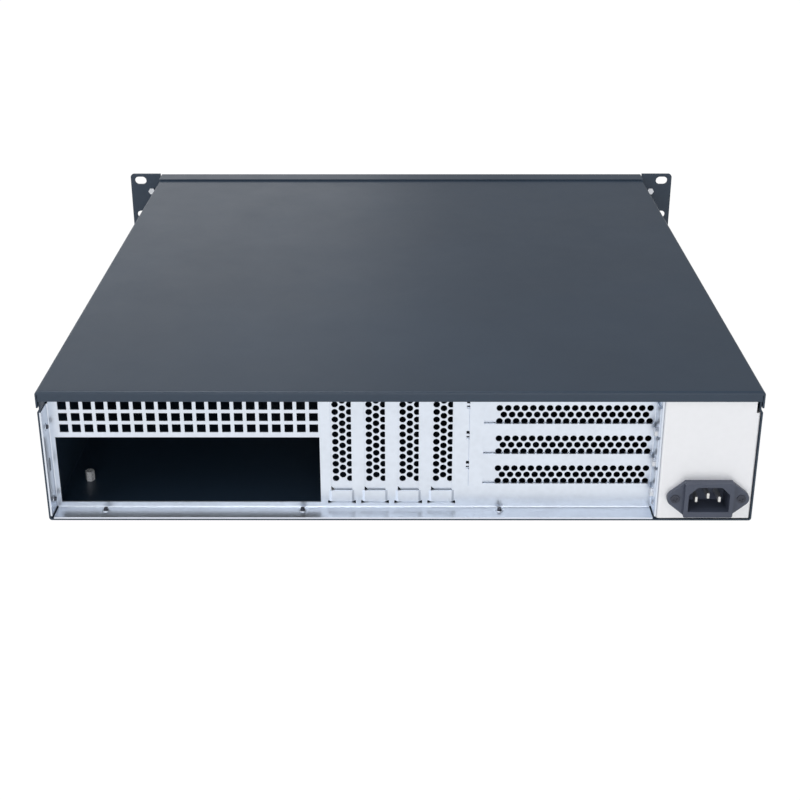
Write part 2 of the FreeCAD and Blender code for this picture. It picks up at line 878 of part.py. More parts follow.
# ---------------------------------------------------------------- expansion slot covers
def slot_cover(length, perforations, over_ledge):
    """Perforated blanking bracket: tongue downwards, seated on y = 0, with its tab over or under z = 0."""
    half = cover_width / 2
    sheet = slot_cover_sheet
    if over_ledge:
        tip = sheet - length
        path = [(0, tip), (0, 0), (cover_tab, 0)]
        bracket = bent_sheet(path, sheet, bend_outer - 2 * fit_gap, "yz", -half, half)
    else:
        tip = -length
        path = [(-sheet, tip), (-sheet, 0), (cover_tab, 0)]
        bracket = bent_sheet(path, -sheet, bend, "yz", -half, half)
    taper_length = half - tongue_tip_width / 2
    cutters = []
    for side in (-1, 1):
        edge = side * tongue_tip_width / 2
        corner = side * (half + 1)
        shoulder = tip + tongue_tip_length
        points = [(edge, tip - 1), (corner, tip - 1), (corner, shoulder + taper_length + 1), (edge, shoulder)]
        cutters.append(prism(sharp(points), "xz", -slot_cover_sheet - 1, 1))
    radius = perforation_size / 2 / math.cos(math.pi / perforation_sides)
    column_step = perforation_pitch * math.sqrt(3) / 2
    start = low_perforation_start if over_ledge else full_perforation_start
    for column in (-1, 0, 1):
        count = perforations if column else perforations - 1
        first = -start if column else -start - perforation_pitch / 2
        for i in range(count):
            point = Vector(column * column_step, -slot_cover_sheet - 1, first - i * perforation_pitch)
            turns = [2 * math.pi * (k + 0.5) / perforation_sides for k in range(perforation_sides + 1)]
            hole = [Vector(point.x + radius * math.cos(turn), point.y, point.z + radius * math.sin(turn))
                    for turn in turns]
            face = Part.Face(Part.makePolygon(hole))
            cutters.append(face.extrude(Vector(0, slot_cover_sheet + 2, 0)))
    notch = screw_radius + 2 * screw_clearance
    cutters.append(box(-half - 1, slot_screw_offset + notch, slot_screw_inset - notch,
                       slot_screw_inset + notch, -sheet - 1, sheet + 1))
    return bracket.cut(cutters)


def slot_screws(places, over_ledge):
    """Hex screws that clamp each cover's tab on its ledge."""
    screws = []
    side = 1 if over_ledge else -1
    for place in places:
        point = place.multVec(Vector(slot_screw_offset, slot_screw_inset, side * slot_cover_sheet))
        direction = place.Rotation.multVec(Vector(0, 0, -side))
        screws.append(hex_screw(slot_cover_sheet + rear_sheet + 2.2, point, direction))
    return group(screws)


# ---------------------------------------------------------------- power inlet and its plate
def inlet_plate():
    """Plate across the power bay, folded in along both sides, with two lugs on the rear panel."""
    outer = inlet_face_y
    inner = outer - plate_sheet
    left_x = power_bay_x - fit_gap
    right_x = -wall_inner_x + fit_gap
    bottom = base_sheet + bend
    curl = [(left_x, inner - bend - fit_gap), (left_x, outer), (right_x, outer), (right_x, outer - 14.0)]
    plate = bent_sheet(curl, plate_sheet, bend, "xy", bottom, side_flange_top)
    step_x_right = -half_width + joggle + base_sheet + notch_width - 1.0
    top_path = [(left_x, inner - bend - fit_gap), (left_x, outer), (step_x_right, outer)]
    top_z = ledge_top - bend_outer
    top = bent_sheet(top_path, plate_sheet, bend, "xy", side_flange_top, top_z)
    pieces = [plate, top]
    for z0, z1 in ((bottom, 12.5), (75.5, top_z)):
        lug = box(left_x - plate_sheet, left_x, rear_y - 13.0, inner - bend, z0, z1)
        pieces.append(lug)
    plate = joined(pieces)
    cutters = []
    body = inlet_half_width - body_inset + 0.3 + 1.0
    height = inlet_half_height - body_inset + 0.3
    cutters.append(box(inlet_x - body, inlet_x + body, inner - 1, outer + 1, inlet_z - height, inlet_z + height))
    for side in (-1, 1):
        point = Vector(inlet_x + side * inlet_screw_spread / 2, outer + 1, inlet_z)
        cutters.append(screw_hole(plate_sheet + 2, point, MINUS_Y))
    for point in plate_screw_points():
        cutters.append(screw_hole(base_sheet + plate_sheet + 1, point, X))
    for point in lug_screw_points():
        cutters.append(screw_hole(plate_sheet + 2, point + MINUS_X, X))
    return plate.cut(cutters)


def inlet_plate_screws():
    screws = [flat_screw(base_sheet + plate_sheet + fit_gap, point, X) for point in plate_screw_points()]
    screws += [hex_screw(plate_sheet + rear_sheet + 0.5, point, X) for point in lug_screw_points()]
    return group(screws)


def pin_places():
    middle = inlet_z + pin_rise
    return [(inlet_x - pin_spread, middle - earth_rise / 2), (inlet_x, middle + earth_rise / 2),
            (inlet_x + pin_spread, middle - earth_rise / 2)]


def power_inlet():
    """Moulded appliance inlet: winged flange, raised rim, socket with two cut corners."""
    x, z = inlet_x, inlet_z
    face = inlet_face_y
    wing = [(x - inlet_half_length, z, inlet_lobe),
            (x - inlet_half_width, z - inlet_half_height, 0), (x + inlet_half_width, z - inlet_half_height, 0),
            (x + inlet_half_length, z, inlet_lobe),
            (x + inlet_half_width, z + inlet_half_height, 0), (x - inlet_half_width, z + inlet_half_height, 0)]
    flange = prism(wing, "xz", face, face + inlet_flange)
    side = inlet_rim_half_width
    rim = [(x - side, z - inlet_half_height, 1), (x + side, z - inlet_half_height, 1),
           (x + side, z + inlet_half_height, 1), (x - side, z + inlet_half_height, 1)]
    block = prism(rim, "xz", face, face + inlet_flange + inlet_rim)
    w = inlet_half_width - body_inset + 1.0
    h = inlet_half_height - body_inset
    back = box(x - w, x + w, face - inlet_depth, face, z - h, z + h)
    housing = joined([flange, block, back])
    a = socket_width / 2
    b = socket_height / 2
    c = socket_chamfer
    floor = z + socket_rise - b
    roof = z + socket_rise + b
    opening = sharp([(x - a, floor), (x + a, floor), (x + a, roof - c), (x + a - c, roof),
                     (x - a + c, roof), (x - a, roof - c)])
    mouth = face + inlet_flange + inlet_rim
    cutters = [prism(opening, "xz", mouth - socket_depth, mouth + 1)]
    for px, pz in pin_places():
        cutters.append(box(px - pin_width / 2, px + pin_width / 2, face - inlet_depth - 1, mouth - socket_depth + 1,
                           pz - pin_height / 2, pz + pin_height / 2))
    for side in (-1, 1):
        point = Vector(x + side * inlet_screw_spread / 2, face + inlet_flange, z)
        cutters.append(flat_screw_hole(inlet_flange + 1, point, MINUS_Y))
    return housing.cut(cutters)


def inlet_pins():
    """Three blade pins, each one strip from the socket to the solder tail behind."""
    blades = []
    root = inlet_face_y + inlet_flange + inlet_rim - socket_depth
    back = inlet_face_y - inlet_depth - pin_tail
    for px, pz in pin_places():
        blades.append(box(px - pin_width / 2, px + pin_width / 2, back, root + pin_length,
                          pz - pin_height / 2, pz + pin_height / 2))
    return group(blades)


def inlet_screws():
    screws = []
    for side in (-1, 1):
        point = Vector(inlet_x + side * inlet_screw_spread / 2, inlet_face_y + inlet_flange, inlet_z)
        screws.append(flat_screw(inlet_flange + plate_sheet + 2, point, MINUS_Y))
    return group(screws)


# ---------------------------------------------------------------- inside
def standoffs():
    return group([bar(6, standoff_radius, standoff_height, point, Z) for point in standoff_points()])


def fan_frame(x):
    """Square fan housing with a round duct, a motor plate at its rear and four struts."""
    front = panel_back_y
    back = front + fan_depth
    half = fan_size / 2
    near = half - fan_corner
    frame = prism(sharp([(x - near, fan_z - half), (x + near, fan_z - half), (x + half, fan_z - near),
                         (x + half, fan_z + near), (x + near, fan_z + half), (x - near, fan_z + half),
                         (x - half, fan_z + near), (x - half, fan_z - near)]), "xz", front, back)
    frame = frame.cut(bar(duct_sides, fan_bore, fan_depth + 2, Vector(x, front - 1, fan_z), Y))
    plate = bar(hub_sides, motor_radius, motor_plate, Vector(x, back - motor_plate, fan_z), Y)
    shaft = rod(shaft_radius, shaft_length, Vector(x, back - motor_plate - shaft_length, fan_z), Y)
    reach = fan_bore + 1
    cross = []
    for angle in (45, 135):
        strut = box(-reach, reach, back - motor_plate, back, -strut_width / 2, strut_width / 2)
        strut.rotate(Vector(0, 0, 0), Y, angle)
        strut.translate(Vector(x, 0, fan_z))
        cross.append(strut)
    frame = joined([frame, plate, shaft] + cross)
    holes = []
    for point in fan_screw_points():
        holes.append(screw_hole(front_sheet + 10, point, Y))
    return frame.cut(holes)


def fan_rotor(x):
    """Hub with swept blades, turning on the frame's shaft."""
    front = panel_back_y + hub_setback
    back = panel_back_y + fan_depth - motor_plate - rotor_gap
    hub = bar(hub_sides, hub_radius, back - front, Vector(x, front, fan_z), Y)
    blades = []
    middle = (front + back) / 2
    for i in range(blade_count):
        blade = box(hub_radius - 2, fan_bore - blade_tip_gap, -blade_chord / 2, blade_chord / 2,
                    -blade_sheet / 2, blade_sheet / 2)
        blade.rotate(Vector(0, 0, 0), X, blade_pitch)
        blade.rotate(Vector(0, 0, 0), Y, 360.0 * i / blade_count)
        blade.translate(Vector(x, middle, fan_z))
        blades.append(blade)
    rotor = joined([hub] + blades)
    bore_length = shaft_length + rotor_gap
    bore = rod(shaft_radius + shaft_clearance, bore_length, Vector(x, back - shaft_length, fan_z), Y)
    return rotor.cut(bore)


def fan_screws():
    return group([hex_screw(front_sheet + 9, point, Y) for point in fan_screw_points()])


def drive_cage():
    """Folded channel over the drive bay, standing on two spot-welded feet."""
    x0 = bay_x - bay_width / 2 + bay_clearance
    x1 = bay_x + bay_width / 2 - bay_clearance
    path = [(x0 - cage_foot, base_sheet), (x0, base_sheet), (x0, cage_top - cage_sheet),
            (x1, cage_top - cage_sheet), (x1, base_sheet), (x1 + cage_foot, base_sheet)]
    front = panel_back_y + cage_setback
    cage = bent_sheet(path, cage_sheet, 0, "xz", front, front + cage_depth)
    cutters = []
    for z in (bay_z + bay_height * 0.24, bay_z + bay_height * 0.76):
        for k in (0.2, 0.7):
            y = front + cage_depth * k
            cutters.append(box(x0 - 3, x1 + 3, y, y + cage_slot_length, z - cage_slot_width / 2,
                               z + cage_slot_width / 2))
    return cage.cut(cutters)


def bay_cover():
    """Moulded blank that snaps into the drive bay's window."""
    x0 = bay_x - bay_width / 2 + bay_clearance
    x1 = bay_x + bay_width / 2 - bay_clearance
    z0 = bay_z + bay_clearance
    z1 = bay_z + bay_height - bay_clearance
    back = front_y + bay_cover_depth
    shell = box(x0, x1, front_y, back + 4, z0, z1)
    wall = bay_cover_wall
    shell = shell.cut(box(x0 + wall, x1 - wall, front_y + wall, back + 5, z0 + wall, z1 - wall))
    middle = (z0 + z1) / 2
    snaps = []
    for side, edge in ((-1, x0), (1, x1)):
        low = min(edge, edge + side * bay_snap)
        snaps.append(box(low, low + bay_snap, panel_back_y + fit_gap, back + 3,
                         middle - bay_snap_height / 2, middle + bay_snap_height / 2))
    return joined([shell] + snaps)


def supply_bracket():
    """Upright plate on a spot-welded foot, that a power supply is screwed to."""
    x0 = supply_x - supply_width / 2
    x1 = supply_x + supply_width / 2
    path = [(supply_y - supply_foot, base_sheet), (supply_y, base_sheet), (supply_y, supply_height)]
    plate = bent_sheet(path, cage_sheet, 0, "yz", x0, x1)
    window = box(x0 + 15, x1 - 15, supply_y - 5, supply_y + 5, 14, supply_height - 8)
    holes = [window]
    for x in (x0 + 7, x1 - 7):
        for z in (16.0, supply_height - 8):
            holes.append(screw_hole(cage_sheet + 4, Vector(x, supply_y + 2, z), MINUS_Y))
    return plate.cut(holes)


# ---------------------------------------------------------------- front controls
def control_board():
    y = panel_back_y + board_depth
    return box(controls_x - board_width / 2, controls_x + board_width / 2, y, y + board_sheet,
               board_bottom, board_top)


def board_posts():
    posts = []
    for x in (controls_x - board_width / 2 + 4, controls_x + board_width / 2 - 4):
        for z in (board_bottom + 3.5, board_top - 3.5):
            posts.append(bar(6, post_radius, board_depth, Vector(x, panel_back_y, z), Y))
    return group(posts)


def button(radius, z):
    """Cap with a collar behind the panel and a square stem in its switch."""
    cap = bar(button_sides, radius, button_proud + front_sheet + slide_gap + button_flange_sheet,
              Vector(controls_x, front_y - button_proud, z), Y)
    collar_y = panel_back_y + slide_gap
    collar = bar(button_sides, radius + button_flange, button_flange_sheet, Vector(controls_x, collar_y, z), Y)
    stem_end = panel_back_y + board_depth - switch_height + stem_grip
    half = stem_width / 2
    stem = box(controls_x - half, controls_x + half, collar_y, stem_end, z - half, z + half)
    return joined([cap, collar, stem])


def switch(z):
    y0 = panel_back_y + board_depth - switch_height
    half = switch_size / 2
    housing = box(controls_x - half, controls_x + half, y0, y0 + switch_height, z - half, z + half)
    half = stem_width / 2 + stem_clearance
    well = y0 + stem_grip + button_travel + slide_gap
    return housing.cut(box(controls_x - half, controls_x + half, y0 - 1, well, z - half, z + half))


def status_lights():
    lights = []
    y0 = front_y - led_proud
    for side in (-1, 1):
        point = Vector(controls_x + side * led_spread / 2, y0, led_z)
        lights.append(bar(light_sides, led_radius, panel_back_y + board_depth - y0, point, Y))
    return group(lights)


def usb_ports():
    ports = []
    back = panel_back_y + board_depth
    for side in (-1, 1):
        x = controls_x + side * usb_spread / 2
        a = usb_width / 2
        b = usb_height / 2
        shell = box(x - a, x + a, front_y, back, usb_z - b, usb_z + b)
        w = usb_wall
        shell = shell.cut(box(x - a + w, x + a - w, front_y - 1, front_y + 12, usb_z - b + w, usb_z + b - w))
        tongue = box(x - a + 1, x + a - 1, front_y + 1, front_y + 12.5, usb_z, usb_z + usb_tongue)
        ports.append(joined([shell, tongue]))
    return group(ports)


# ---------------------------------------------------------------- export
nodes = {
    "base_tray": base_tray(),
    "top_cover": top_cover(),
    "cover_screws": cover_screws(),
    "cover_nuts": cover_nuts(),
    "front_panel": front_panel(),
    "front_panel_screws": front_screws(),
    "left_handle": handle(-1),
    "right_handle": handle(1),
    "handle_screws": handle_screws(),
    "rear_panel": rear_panel(),
    "rear_panel_screws": rear_panel_screws(),
    "low_profile_cover_screws": slot_screws(low_slot_places(), True),
    "full_height_cover_screws": slot_screws(full_slot_places(), False),
    "inlet_plate": inlet_plate(),
    "inlet_plate_screws": inlet_plate_screws(),
    "power_inlet": power_inlet(),
    "inlet_pins": inlet_pins(),
    "inlet_screws": inlet_screws(),
    "motherboard_standoffs": standoffs(),
    "fan_screws": fan_screws(),
    "drive_cage": drive_cage(),
    "drive_bay_cover": bay_cover(),
    "power_supply_bracket": supply_bracket(),
    "control_board": control_board(),
    "control_board_posts": board_posts(),
    "power_button": button(button_radius, button_z),
    "reset_button": button(reset_radius, reset_z),
    "power_switch": switch(button_z),
    "reset_switch": switch(reset_z),
    "status_lights": status_lights(),
    "usb_ports": usb_ports(),
}
low_cover = slot_cover(low_cover_length, low_perforations, True)
for number, place in enumerate(low_slot_places(), 1):
    nodes["low_profile_slot_cover_%d" % number] = placed(low_cover, place)
full_cover = slot_cover(full_cover_length, full_perforations, False)
for number, place in enumerate(full_slot_places(), 1):
    nodes["full_height_slot_cover_%d" % number] = placed(full_cover, place)
for number, x in enumerate(fan_x, 1):
    nodes["fan_frame_%d" % number] = fan_frame(x)
    nodes["fan_rotor_%d" % number] = fan_rotor(x)

os.makedirs("parts", exist_ok=True)
for name, shape in nodes.items():
    shape.exportStep("parts/%s.step" % name)
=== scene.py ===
import json
import math

import bmesh
import bpy
from mathutils import Matrix, Vector


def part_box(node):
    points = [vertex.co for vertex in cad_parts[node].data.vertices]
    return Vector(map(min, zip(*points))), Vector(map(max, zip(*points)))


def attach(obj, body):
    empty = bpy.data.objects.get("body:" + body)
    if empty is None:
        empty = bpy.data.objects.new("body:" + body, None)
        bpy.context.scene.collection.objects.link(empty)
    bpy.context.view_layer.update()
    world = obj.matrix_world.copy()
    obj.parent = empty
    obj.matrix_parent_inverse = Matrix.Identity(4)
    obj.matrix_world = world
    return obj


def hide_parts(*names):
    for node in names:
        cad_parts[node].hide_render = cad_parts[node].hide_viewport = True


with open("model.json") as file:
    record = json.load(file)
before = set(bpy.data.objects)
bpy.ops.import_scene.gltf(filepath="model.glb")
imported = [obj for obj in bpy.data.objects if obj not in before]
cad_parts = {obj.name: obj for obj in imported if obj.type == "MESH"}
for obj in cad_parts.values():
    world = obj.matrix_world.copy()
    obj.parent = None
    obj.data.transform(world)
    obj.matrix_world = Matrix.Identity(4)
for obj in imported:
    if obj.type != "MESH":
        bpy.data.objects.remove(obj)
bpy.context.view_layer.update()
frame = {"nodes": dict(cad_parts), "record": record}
nodes = frame["nodes"]

MM = 0.001

# ---------------------------------------------------------------- sizes of what is added here
PITCH = 5.0 * MM               # of the slot covers' perforations
HOLE_RADIUS = 1.98 * MM
HOLE_SIDES = 28
LOW_FIRST_HOLE = 6.0 * MM
FULL_FIRST_HOLE = 4.4 * MM
LOW_HOLES = 12
FULL_HOLES = 19
LOW_LENGTH = 79.2 * MM
FULL_LENGTH = 118.0 * MM
COVER_WIDTH = 18.42 * MM
TAB_REACH = 11.4 * MM
SLOT_SHEET = 0.8 * MM
SLOT_BEND = 1.6 * MM
TONGUE_WIDTH = 10.2 * MM
TONGUE_LENGTH = 9.7 * MM
SCREW_INSET = 6.9 * MM
SCREW_OFFSET = -8.0 * MM
SCREW_NOTCH = 1.8 * MM
SHEET_EDGE = 0.07 * MM
BEND_STEPS = 8                 # facets of a slot cover's fold
LOW_COVERS = 4
FULL_COVERS = 3
SHEET = 1.0 * MM
BRIDGE_OFFSET = 0.95 * MM      # bridge's middle, from its cover's middle
BRIDGE_WIDTH = 15.3 * MM
BRIDGE_EDGE = 6.3 * MM         # height of a bridge's lower edge
BRIDGE_FLARE = 0.9 * MM
BRIDGE_SLOT = 1.1 * MM
CUT_INWARD = 2.0 * MM          # reach of the slot cutter either side of the cover's seat
CUT_OUTWARD = 1.3 * MM
FLOOR_HOLES = (33.0 * MM, 153.4 * MM, 273.8 * MM)
FLOOR_HOLE_INSET = 9.5 * MM
SIDE_HOLES = (10.5 * MM, 59.5 * MM)
SIDE_HOLE_INSET = 9.0 * MM
COLLAR_BORE = 1.6 * MM
COLLAR_RADIUS = 2.5 * MM
FLOOR_COLLAR = 0.6 * MM        # heights of the collars and of the screw tips in them
SIDE_COLLAR = 0.4 * MM
FLOOR_TIP = 1.9 * MM
SIDE_TIP = 1.3 * MM
TIP_RADIUS = 1.45 * MM
TIP_TAPER = 0.8
TIP_SIDES = 20
HEAD_RADIUS = 3.0 * MM
HEAD_SHARE = 0.93              # of the head's radius that its cap covers
HEAD_CAP = 0.4 * MM
HEAD_EDGE = 0.12 * MM
CROSS_REACH = 1.7 * MM
CROSS_HALF = 0.45 * MM
CROSS_TURN = 20                # degrees
WELD = 0.001 * MM              # vertices nearer than this are one
FLAT_ANGLE = 0.5               # degrees; faces nearer to level than this are one
SHARP_ANGLE = 40               # degrees; edges sharper than this are rounded
FLOOR_HALF = 30                # metres
FLOOR_COLOUR = (0.82, 0.82, 0.82, 1)
FLOOR_GLOW = 1.06              # strength, as the camera and mirror-like surfaces see the floor
FLOOR_GLOW_SHARE = 0.93        # the rest is the floor's own shade, which keeps the shadow
WORLD_LIGHT = 0.42
CAMERA_LENS = 60.19            # camera solved from points of the photograph
CAMERA_SENSOR = 36.0
CAMERA_SHIFT = -0.1029
CAMERA_PLACE = (-0.001868, 0.945345, 0.422045)
CAMERA_TURN = (67.698, 0.041, -179.873)    # degrees


# ---------------------------------------------------------------- materials
def new_material(name):
    material = bpy.data.materials.new(name)
    material.use_nodes = True
    tree = material.node_tree
    return material, tree, tree.nodes["Principled BSDF"]


def texture_space(tree, scale=(1, 1, 1)):
    """Object coordinates, so that the texture stays on the piece at its real size."""
    coordinates = tree.nodes.new("ShaderNodeTexCoord")
    mapping = tree.nodes.new("ShaderNodeMapping")
    mapping.inputs["Scale"].default_value = scale
    tree.links.new(coordinates.outputs["Object"], mapping.inputs["Vector"])
    return mapping.outputs["Vector"]


def noise(tree, space, scale, detail=3.0, roughness=0.5):
    node = tree.nodes.new("ShaderNodeTexNoise")
    node.inputs["Scale"].default_value = scale
    node.inputs["Detail"].default_value = detail
    node.inputs["Roughness"].default_value = roughness
    tree.links.new(space, node.inputs["Vector"])
    return node.outputs["Fac"]


def ramp(tree, value, stops):
    """Colour ramp of (position, colour) stops."""
    node = tree.nodes.new("ShaderNodeValToRGB")
    elements = node.color_ramp.elements
    while len(elements) < len(stops):
        elements.new(0.5)
    for element, (position, colour) in zip(elements, stops):
        element.position = position
        element.color = (*colour, 1)
    tree.links.new(value, node.inputs["Fac"])
    return node.outputs["Color"]


def spread(tree, value, low, high):
    """The same value, spread between two limits."""
    node = tree.nodes.new("ShaderNodeMapRange")
    node.inputs["To Min"].default_value = low
    node.inputs["To Max"].default_value = high
    tree.links.new(value, node.inputs["Value"])
    return node.outputs["Result"]


def bump(tree, shader, height, distance, strength):
    node = tree.nodes.new("ShaderNodeBump")
    node.inputs["Distance"].default_value = distance
    node.inputs["Strength"].default_value = strength
    tree.links.new(height, node.inputs["Height"])
    tree.links.new(node.outputs["Normal"], shader.inputs["Normal"])


def scaled(colour, factor):
    return tuple(c * factor for c in colour)


def powder_coat(name, colour, roughness):
    """Satin powder coat: fine orange peel, slight mottling, faint handling smears."""
    material, tree, shader = new_material(name)
    space = texture_space(tree)
    broad = noise(tree, space, 9.0, 4.0, 0.6)
    tint = ramp(tree, broad, [(0.3, scaled(colour, 0.93)), (0.7, scaled(colour, 1.07))])
    tree.links.new(tint, shader.inputs["Base Color"])
    smears = noise(tree, space, 30.0, 6.0, 0.7)
    tree.links.new(spread(tree, smears, roughness - 0.05, roughness + 0.05), shader.inputs["Roughness"])
    bump(tree, shader, noise(tree, space, 1400.0, 2.0), 0.00006, 0.5)
    return material


def zinc_sheet(name, colour, roughness, metallic, cloud=1.0):
    """Galvanised or plated sheet: soft cloudy grains with a little colour between them."""
    material, tree, shader = new_material(name)
    space = texture_space(tree)
    grain = tree.nodes.new("ShaderNodeTexVoronoi")
    grain.inputs["Scale"].default_value = 260.0
    tree.links.new(space, grain.inputs["Vector"])
    clouds = noise(tree, space, 40.0, 5.0, 0.6)
    mix = tree.nodes.new("ShaderNodeMath")
    mix.operation = "MULTIPLY_ADD"
    mix.inputs[1].default_value = 0.35
    tree.links.new(grain.outputs["Distance"], mix.inputs[0])
    tree.links.new(clouds, mix.inputs[2])
    tint = ramp(tree, mix.outputs[0], [(0.35, scaled(colour, 1 - 0.05 * cloud)),
                                       (0.8, scaled(colour, 1 + 0.03 * cloud))])
    tree.links.new(tint, shader.inputs["Base Color"])
    tree.links.new(spread(tree, clouds, roughness - 0.06, roughness + 0.08), shader.inputs["Roughness"])
    shader.inputs["Metallic"].default_value = metallic
    bump(tree, shader, noise(tree, space, 900.0, 3.0), 0.00004, 0.4)
    return material


def moulded(name, colour, roughness):
    """Fine-textured moulded plastic."""
    material, tree, shader = new_material(name)
    space = texture_space(tree)
    tint = ramp(tree, noise(tree, space, 60.0), [(0.3, scaled(colour, 0.92)), (0.7, scaled(colour, 1.08))])
    tree.links.new(tint, shader.inputs["Base Color"])
    grain = noise(tree, space, 2200.0, 2.0)
    tree.links.new(spread(tree, grain, roughness - 0.05, roughness + 0.08), shader.inputs["Roughness"])
    bump(tree, shader, grain, 0.00005, 0.5)
    return material


def turned_metal(name, colour, roughness, metallic=0.85):
    """Turned or rolled metal with fine streaks."""
    material, tree, shader = new_material(name)
    space = texture_space(tree, (1, 1, 6))
    streaks = noise(tree, space, 700.0, 4.0, 0.6)
    tint = ramp(tree, streaks, [(0.3, scaled(colour, 0.88)), (0.7, scaled(colour, 1.05))])
    tree.links.new(tint, shader.inputs["Base Color"])
    tree.links.new(spread(tree, streaks, roughness - 0.05, roughness + 0.1), shader.inputs["Roughness"])
    shader.inputs["Metallic"].default_value = metallic
    return material


materials = {
    "black_paint": powder_coat("navy_powder_coat", (0.021, 0.040, 0.069), 0.42),
    "galvanised_steel": zinc_sheet("galvanised_sheet", (0.72, 0.775, 0.86), 0.32, 0.85),
    "plated_steel": zinc_sheet("plated_sheet", (0.86, 0.87, 0.90), 0.45, 0.45, 0.3),
    "black_plastic": moulded("dark_moulding", (0.058, 0.070, 0.105), 0.42),
    "bright_screw": turned_metal("zinc_screw", (0.70, 0.72, 0.76), 0.35),
    "black_screw": turned_metal("black_screw", (0.05, 0.055, 0.075), 0.35, 0.5),
    "pin_metal": turned_metal("nickel_pin", (0.78, 0.78, 0.76), 0.28),
    "standoff_brass": turned_metal("standoff_metal", (0.88, 0.90, 0.93), 0.25, 0.35),
    "circuit_board": moulded("solder_resist", (0.02, 0.13, 0.05), 0.4),
    "light_lens": moulded("clear_lens", (0.62, 0.68, 0.66), 0.25),
}
for part in frame["record"]["subparts"]:
    mesh = nodes[part["node"]].data
    mesh.materials.clear()
    mesh.materials.append(materials[part["material_slot"]])


# ---------------------------------------------------------------- piece helpers
def add_piece(name, mesh, slot_name, body, *replaced):
    piece = bpy.data.objects.new(name, mesh)
    bpy.context.scene.collection.objects.link(piece)
    mesh.materials.clear()
    mesh.materials.append(materials[slot_name])
    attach(piece, body)
    if replaced:
        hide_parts(*replaced)


def mesh_from(name, bm):
    mesh = bpy.data.meshes.new(name)
    bm.normal_update()
    bm.to_mesh(mesh)
    bm.free()
    return mesh


def flat_sheet(outlines, thickness, edge):
    """Flat sheet in the XY plane from an outline and its holes, with softened edges."""
    curve = bpy.data.curves.new("outline", "CURVE")
    curve.dimensions = "2D"
    curve.fill_mode = "BOTH"
    curve.extrude = thickness / 2 - edge
    curve.bevel_depth = edge
    curve.bevel_resolution = 1
    curve.offset = -edge
    for points in outlines:
        spline = curve.splines.new("POLY")
        spline.points.add(len(points) - 1)
        for target, (x, y) in zip(spline.points, points):
            target.co = (x, y, 0, 1)
        spline.use_cyclic_u = True
    holder = bpy.data.objects.new("outline", curve)
    bpy.context.scene.collection.objects.link(holder)
    mesh = bpy.data.meshes.new_from_object(holder.evaluated_get(bpy.context.evaluated_depsgraph_get()))
    bpy.data.objects.remove(holder)
    bm = bmesh.new()
    bm.from_mesh(mesh)
    bpy.data.meshes.remove(mesh)
    return bm


def circle(x, y, radius, sides):
    return [(x + radius * math.cos(2 * math.pi * i / sides), y + radius * math.sin(2 * math.pi * i / sides))
            for i in range(sides)]


def folded_strip(bm, path, x0, x1, sheet):
    """Strip along a (y, z) path from x0 to x1; its thickness is to the left of the path."""
    offset = []
    for i, here in enumerate(path):
        before = path[max(i - 1, 0)]
        after = path[min(i + 1, len(path) - 1)]
        along = Vector((after[0] - before[0], after[1] - before[1])).normalized()
        offset.append((here[0] - along.y * sheet, here[1] + along.x * sheet))
    ring = path + offset[::-1]
    sides = []
    for x in (x0, x1):
        sides.append([bm.verts.new((x, y, z)) for y, z in ring])
    count = len(ring)
    for i in range(count):
        j = (i + 1) % count
        bm.faces.new((sides[0][i], sides[0][j], sides[1][j], sides[1][i]))
    for side in sides:
        for i in range(len(path) - 1):
            bm.faces.new((side[i], side[i + 1], side[count - 2 - i], side[count - 1 - i]))
    bmesh.ops.recalc_face_normals(bm, faces=bm.faces)


# ---------------------------------------------------------------- slot covers
def ledge_fold(over_ledge):
    """Quarter bend from the cover's sheet to its tab, as (y, z) points, and the tab's sheet side."""
    start = 0 if over_ledge else -SLOT_SHEET
    path = []
    for i in range(BEND_STEPS + 1):
        angle = math.pi / 2 * i / BEND_STEPS
        path.append((start + SLOT_BEND * (1 - math.cos(angle)), SLOT_BEND * (math.sin(angle) - 1)))
    return path, SLOT_SHEET if over_ledge else -SLOT_SHEET


def slot_cover(name, length, holes, first_hole, place, over_ledge):
    """Perforated blanking bracket with round holes, built with its ledge at z = 0 and its seat at y = 0."""
    half = COVER_WIDTH / 2
    tip = SLOT_SHEET - length if over_ledge else -length
    shoulder = tip + TONGUE_LENGTH
    tongue = TONGUE_WIDTH / 2
    slope = half - tongue
    outlines = [[(-half, -SLOT_BEND), (-half, shoulder + slope), (-tongue, shoulder), (-tongue, tip),
                 (tongue, tip), (tongue, shoulder), (half, shoulder + slope), (half, -SLOT_BEND)]]
    column_step = PITCH * math.sqrt(3) / 2
    for column in (-1, 0, 1):
        start = -first_hole if column else -first_hole - PITCH / 2
        for i in range(holes if column else holes - 1):
            outlines.append(circle(column * column_step, start - i * PITCH, HOLE_RADIUS, HOLE_SIDES))
    bm = flat_sheet(outlines, SLOT_SHEET, SHEET_EDGE)
    bmesh.ops.transform(bm, verts=bm.verts, matrix=Matrix.Rotation(math.pi / 2, 4, "X"))
    bmesh.ops.translate(bm, verts=bm.verts, vec=(0, -SLOT_SHEET / 2, 0))
    path, sheet = ledge_fold(over_ledge)
    near = SCREW_INSET - SCREW_NOTCH
    far = SCREW_INSET + SCREW_NOTCH
    inner = SCREW_OFFSET + SCREW_NOTCH
    folded_strip(bm, path + [(TAB_REACH, 0)], inner, half, sheet)
    folded_strip(bm, path + [(near, 0)], -half, inner, sheet)
    folded_strip(bm, [(far, 0), (TAB_REACH, 0)], -half, inner, sheet)
    bmesh.ops.transform(bm, verts=bm.verts, matrix=place)
    add_piece(name + "_sheet", mesh_from(name, bm), "galvanised_steel", "case", name)


def low_place(name):
    """Upright cover: its tab lies on the ledge at the top."""
    lo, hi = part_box(name)
    return Matrix.Translation(((lo.x + hi.x) / 2, hi.y - TAB_REACH, hi.z - SLOT_SHEET))


